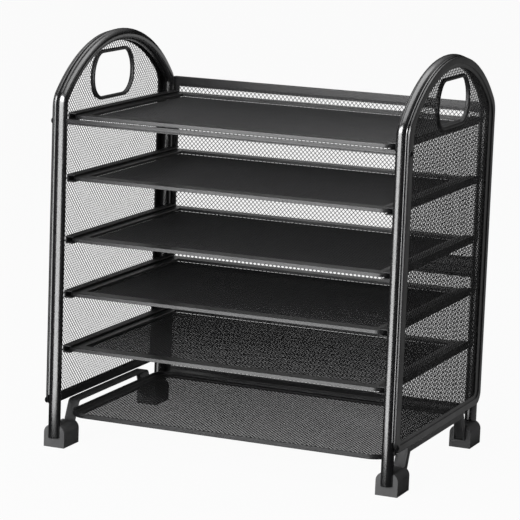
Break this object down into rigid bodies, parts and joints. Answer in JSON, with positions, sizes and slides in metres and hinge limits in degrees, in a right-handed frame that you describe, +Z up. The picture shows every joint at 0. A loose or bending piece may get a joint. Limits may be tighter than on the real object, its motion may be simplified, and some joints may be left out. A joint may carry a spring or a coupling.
{
  "type": "paper tray organizer",
  "caption": "Desktop paper organizer: black steel mesh rack with arched side handles, sliding mesh trays, a fixed base tray, a mesh back and moulded feet.",
  "frame": {"origin": "on the floor under the middle of the organizer's overall box", "axes": "+X to the right across the width, +Y from the open front to the mesh back, +Z up"},
  "size_m": [0.3616, 0.2486, 0.3937],
  "materials": {
    "coated_steel": "satin",
    "tube_coat": "gloss",
    "mesh": "satin",
    "foot_plastic": "matte",
    "grip_plastic": "matte"
  },
  "bodies": {
    "frame": {"side_tube_right": "tube_coat", "side_panel_right": "coated_steel", "side_mesh_right": "mesh", "handle_grip_right": "grip_plastic", "rail_1_right": "coated_steel", "rail_2_right": "coated_steel", "rail_3_right": "coated_steel", "rail_4_right": "coated_steel", "rail_5_right": "coated_steel", "side_tube_left": "tube_coat", "side_panel_left": "coated_steel", "side_mesh_left": "mesh", "handle_grip_left": "grip_plastic", "rail_1_left": "coated_steel", "rail_2_left": "coated_steel", "rail_3_left": "coated_steel", "rail_4_left": "coated_steel", "rail_5_left": "coated_steel", "front_tie_bar": "coated_steel", "back_frame_upper": "coated_steel", "back_mesh_upper": "mesh", "back_frame_lower": "coated_steel", "back_mesh_lower": "mesh", "base_strap_right": "coated_steel", "base_strap_left": "coated_steel", "base_tray_frame": "coated_steel", "base_tray_mesh": "mesh", "foot_front_left": "foot_plastic", "foot_rear_left": "foot_plastic", "foot_front_right": "foot_plastic", "foot_rear_right": "foot_plastic"},
    "tray_1": {"tray_1_frame": "coated_steel", "tray_1_mesh": "mesh"},
    "tray_2": {"tray_2_frame": "coated_steel", "tray_2_mesh": "mesh"},
    "tray_3": {"tray_3_frame": "coated_steel", "tray_3_mesh": "mesh"},
    "tray_4": {"tray_4_frame": "coated_steel", "tray_4_mesh": "mesh"},
    "tray_5": {"tray_5_frame": "coated_steel", "tray_5_mesh": "mesh"}
  },
  "joints": [
    {"name": "tray_1_slide", "type": "slide", "parent": "frame", "child": "tray_1", "axis": [0, -1, 0], "range_m": [0, 0.16]},
    {"name": "tray_2_slide", "type": "slide", "parent": "frame", "child": "tray_2", "axis": [0, -1, 0], "range_m": [0, 0.16]},
    {"name": "tray_3_slide", "type": "slide", "parent": "frame", "child": "tray_3", "axis": [0, -1, 0], "range_m": [0, 0.16]},
    {"name": "tray_4_slide", "type": "slide", "parent": "frame", "child": "tray_4", "axis": [0, -1, 0], "range_m": [0, 0.16]},
    {"name": "tray_5_slide", "type": "slide", "parent": "frame", "child": "tray_5", "axis": [0, -1, 0], "range_m": [0, 0.16]}
  ]
}
